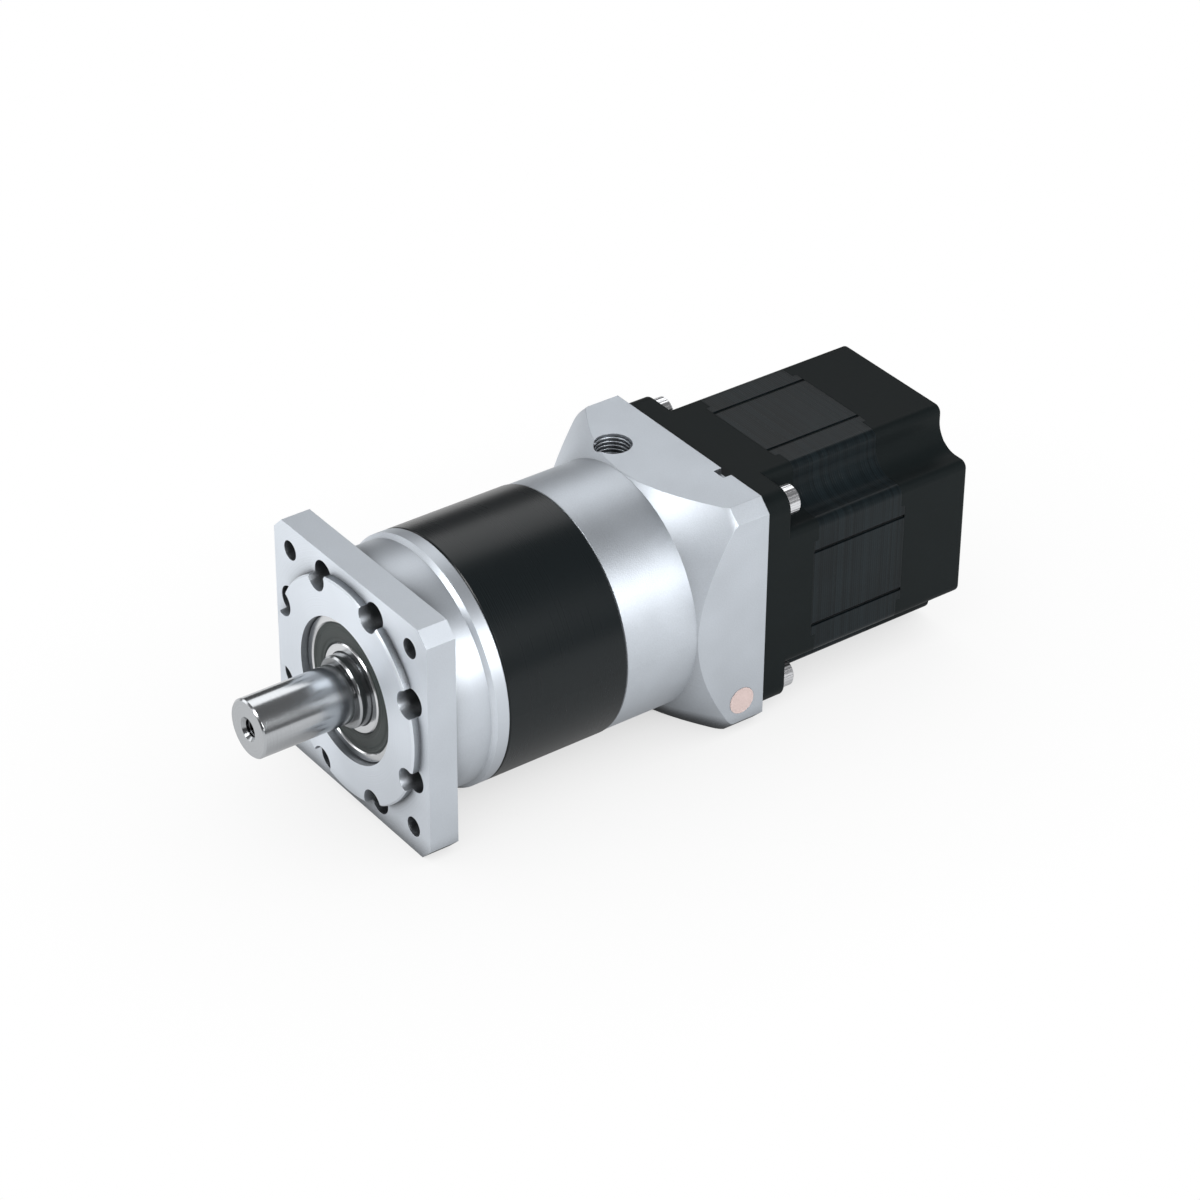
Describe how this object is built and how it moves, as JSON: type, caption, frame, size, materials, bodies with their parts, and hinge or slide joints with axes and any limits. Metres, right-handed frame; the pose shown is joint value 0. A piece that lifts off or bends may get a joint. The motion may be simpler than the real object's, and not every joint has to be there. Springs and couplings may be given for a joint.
{
  "type": "planetary gearmotor",
  "caption": "Inline planetary gearbox with a square flange and round output shaft, driven by a square stepper motor.",
  "frame": {"origin": "centre of the output flange's mounting face, on the shaft axis", "axes": "-Y along the output shaft, away from the motor; +Z towards the clamp screw's access hole; +X to the right seen from the shaft"},
  "size_m": [0.0601, 0.179, 0.06],
  "materials": {
    "anodised_aluminium": "bead-blasted silver anodised",
    "black_ring": "black satin finish on steel",
    "black_cast": "black painted die casting",
    "lamination_steel": "black painted lamination stack",
    "ground_steel": "ground steel",
    "gear_steel": "hardened gear steel",
    "bearing_steel": "polished bearing steel",
    "screw_steel": "zinc plated screws",
    "black_screw": "black oxide screws",
    "bronze": "sintered bronze",
    "seal_rubber": "dark grey rubber",
    "copper": "enamelled copper wire",
    "magnet": "plated magnet",
    "board": "glass fibre board",
    "sticker": "pale pink paper label, blank"
  },
  "bodies": {
    "housing": {"output_flange": "anodised_aluminium", "flange_screws": "black_screw", "ring_gear": "black_ring", "motor_adapter": "anodised_aluminium", "adapter_screws": "black_screw", "front_bearing_outer_ring": "bearing_steel", "front_bearing_seals": "seal_rubber", "rear_bearing_outer_ring": "bearing_steel", "input_bearing_outer_ring": "bearing_steel", "input_bearing_snap_ring": "gear_steel", "motor_front_cap": "black_cast", "stator_laminations": "lamination_steel", "stator_windings": "copper", "motor_rear_cap": "black_cast", "motor_front_bearing_outer_ring": "bearing_steel", "motor_rear_bearing_outer_ring": "bearing_steel", "wave_washer": "bearing_steel", "motor_mount_screws": "screw_steel", "motor_tie_screws": "black_screw", "terminal_board": "board", "lead_grommet": "seal_rubber", "inspection_sticker": "sticker"},
    "output": {"output_shaft": "ground_steel", "carrier_plate": "gear_steel", "planet_pins": "bearing_steel", "planet_washers": "bronze", "front_bearing_inner_ring": "bearing_steel", "rear_bearing_inner_ring": "bearing_steel"},
    "input": {"sun_gear": "gear_steel", "clamp_collar": "gear_steel", "clamp_screw": "black_screw", "input_bearing_inner_ring": "bearing_steel", "motor_shaft": "ground_steel", "rotor_cup_front": "gear_steel", "rotor_cup_rear": "gear_steel", "rotor_magnet": "magnet", "motor_front_bearing_inner_ring": "bearing_steel", "motor_rear_bearing_inner_ring": "bearing_steel"},
    "planet_1": {"planet_gear_1": "gear_steel", "planet_bush_1": "bronze"},
    "planet_2": {"planet_gear_2": "gear_steel", "planet_bush_2": "bronze"},
    "planet_3": {"planet_gear_3": "gear_steel", "planet_bush_3": "bronze"},
    "front_balls": {"front_bearing_balls": "bearing_steel"},
    "rear_balls": {"rear_bearing_balls": "bearing_steel"},
    "input_balls": {"input_bearing_balls": "bearing_steel"},
    "motor_front_balls": {"motor_front_bearing_balls": "bearing_steel"},
    "motor_rear_balls": {"motor_rear_bearing_balls": "bearing_steel"}
  },
  "joints": [
    {"name": "output_spin", "type": "hinge", "parent": "housing", "child": "output", "pos_m": [0, 0, 0], "axis": [0, 1, 0], "continuous": true},
    {"name": "input_spin", "type": "hinge", "parent": "housing", "child": "input", "pos_m": [0, 0, 0], "axis": [0, 1, 0], "continuous": true},
    {"name": "planet_1_spin", "type": "hinge", "parent": "output", "child": "planet_1", "pos_m": [0, 0.035, 0.0144], "axis": [0, 1, 0], "continuous": true},
    {"name": "planet_2_spin", "type": "hinge", "parent": "output", "child": "planet_2", "pos_m": [-0.01247, 0.035, -0.0072], "axis": [0, 1, 0], "continuous": true},
    {"name": "planet_3_spin", "type": "hinge", "parent": "output", "child": "planet_3", "pos_m": [0.01247, 0.035, -0.0072], "axis": [0, 1, 0], "continuous": true},
    {"name": "front_balls_spin", "type": "hinge", "parent": "housing", "child": "front_balls", "pos_m": [0, 0, 0], "axis": [0, 1, 0], "continuous": true},
    {"name": "rear_balls_spin", "type": "hinge", "parent": "housing", "child": "rear_balls", "pos_m": [0, 0, 0], "axis": [0, 1, 0], "continuous": true},
    {"name": "input_balls_spin", "type": "hinge", "parent": "housing", "child": "input_balls", "pos_m": [0, 0, 0], "axis": [0, 1, 0], "continuous": true},
    {"name": "motor_front_balls_spin", "type": "hinge", "parent": "housing", "child": "motor_front_balls", "pos_m": [0, 0, 0], "axis": [0, 1, 0], "continuous": true},
    {"name": "motor_rear_balls_spin", "type": "hinge", "parent": "housing", "child": "motor_rear_balls", "pos_m": [0, 0, 0], "axis": [0, 1, 0], "continuous": true}
  ],
  "couplings": [
    {"joint": "input_spin", "follows": "output_spin", "ratio": 4},
    {"joint": "planet_1_spin", "follows": "output_spin", "ratio": -3},
    {"joint": "planet_2_spin", "follows": "output_spin", "ratio": -3},
    {"joint": "planet_3_spin", "follows": "output_spin", "ratio": -3},
    {"joint": "front_balls_spin", "follows": "output_spin", "ratio": 0.41},
    {"joint": "rear_balls_spin", "follows": "output_spin", "ratio": 0.44},
    {"joint": "input_balls_spin", "follows": "output_spin", "ratio": 1.6856},
    {"joint": "motor_front_balls_spin", "follows": "output_spin", "ratio": 1.5147},
    {"joint": "motor_rear_balls_spin", "follows": "output_spin", "ratio": 1.5147}
  ]
}
